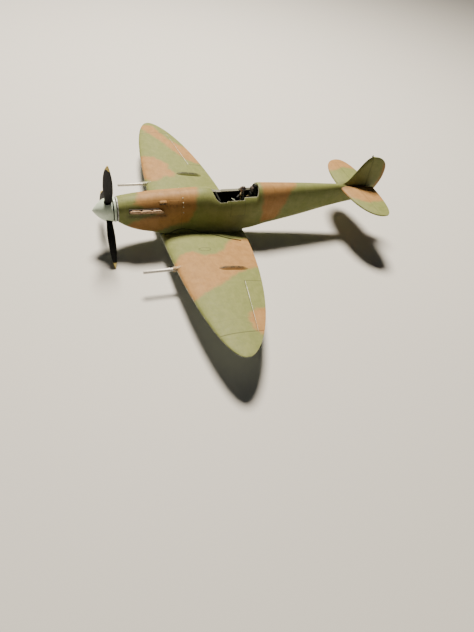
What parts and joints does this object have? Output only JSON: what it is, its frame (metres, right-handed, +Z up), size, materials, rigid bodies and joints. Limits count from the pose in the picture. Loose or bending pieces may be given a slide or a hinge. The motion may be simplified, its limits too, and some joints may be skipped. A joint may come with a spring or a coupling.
{
  "type": "propeller plane model",
  "caption": "Elliptical-wing propeller fighter display model in moulded plastic, painted in camouflage and lying on its belly, with a propeller that spins and an open cockpit.",
  "frame": {"origin": "under the middle of the model, on the surface that it rests on", "axes": "nose towards -Y, port wing towards +X, +Z up, propeller axis level and parallel to Y"},
  "size_m": [0.1556, 0.126, 0.0378],
  "materials": {
    "camouflage_green": "matt acrylic paint, two soft-edged camouflage colours, on moulded styrene",
    "underside_grey": "matt pale grey-green paint on moulded styrene",
    "spinner_green": "satin pale duck-egg green paint",
    "blade_black": "matt black paint with yellow tips",
    "barrel_silver": "bright silver paint",
    "exhaust_rust": "dry-brushed tan and rust paint",
    "interior_dark": "matt black-green paint",
    "radiator_mesh": "dark wash over a fine moulded grille",
    "figure_paint": "hand-painted matt browns and greys",
    "nose_ring": "pale grey styrene with worn paint",
    "bare_plastic": "unpainted grey styrene"
  },
  "bodies": {
    "airframe": {"fuselage_port": "camouflage_green", "fuselage_starboard": "camouflage_green", "nose_bearing_plate": "nose_ring", "wing_lower": "underside_grey", "wing_upper_port": "camouflage_green", "wing_upper_starboard": "camouflage_green", "tailplane_port": "camouflage_green", "tailplane_starboard": "camouflage_green", "rudder": "camouflage_green", "aerial_stub": "blade_black", "exhaust_port": "exhaust_rust", "exhaust_starboard": "exhaust_rust", "cowl_bump": "camouflage_green", "cannon_barrel_port": "barrel_silver", "cannon_barrel_starboard": "barrel_silver", "cannon_fairing_port": "camouflage_green", "cannon_fairing_starboard": "camouflage_green", "cannon_blister_port": "camouflage_green", "cannon_blister_starboard": "camouflage_green", "radiator_housing": "underside_grey", "radiator_core_front": "radiator_mesh", "radiator_core_rear": "radiator_mesh", "oil_cooler_housing": "underside_grey", "oil_cooler_core": "radiator_mesh", "carburettor_intake": "underside_grey", "cockpit_floor": "interior_dark", "rear_bulkhead": "interior_dark", "instrument_panel": "interior_dark", "seat": "interior_dark", "headrest": "interior_dark", "control_column": "interior_dark", "pilot_figure": "figure_paint"},
    "propeller_unit": {"spinner": "spinner_green", "spinner_backplate": "spinner_green", "propeller": "blade_black", "propeller_shaft": "bare_plastic", "shaft_collar": "bare_plastic"}
  },
  "joints": [
    {"name": "propeller_spin", "type": "hinge", "parent": "airframe", "child": "propeller_unit", "pos_m": [0, -0.0569, 0.0162], "axis": [0, -1, 0], "continuous": true}
  ]
}
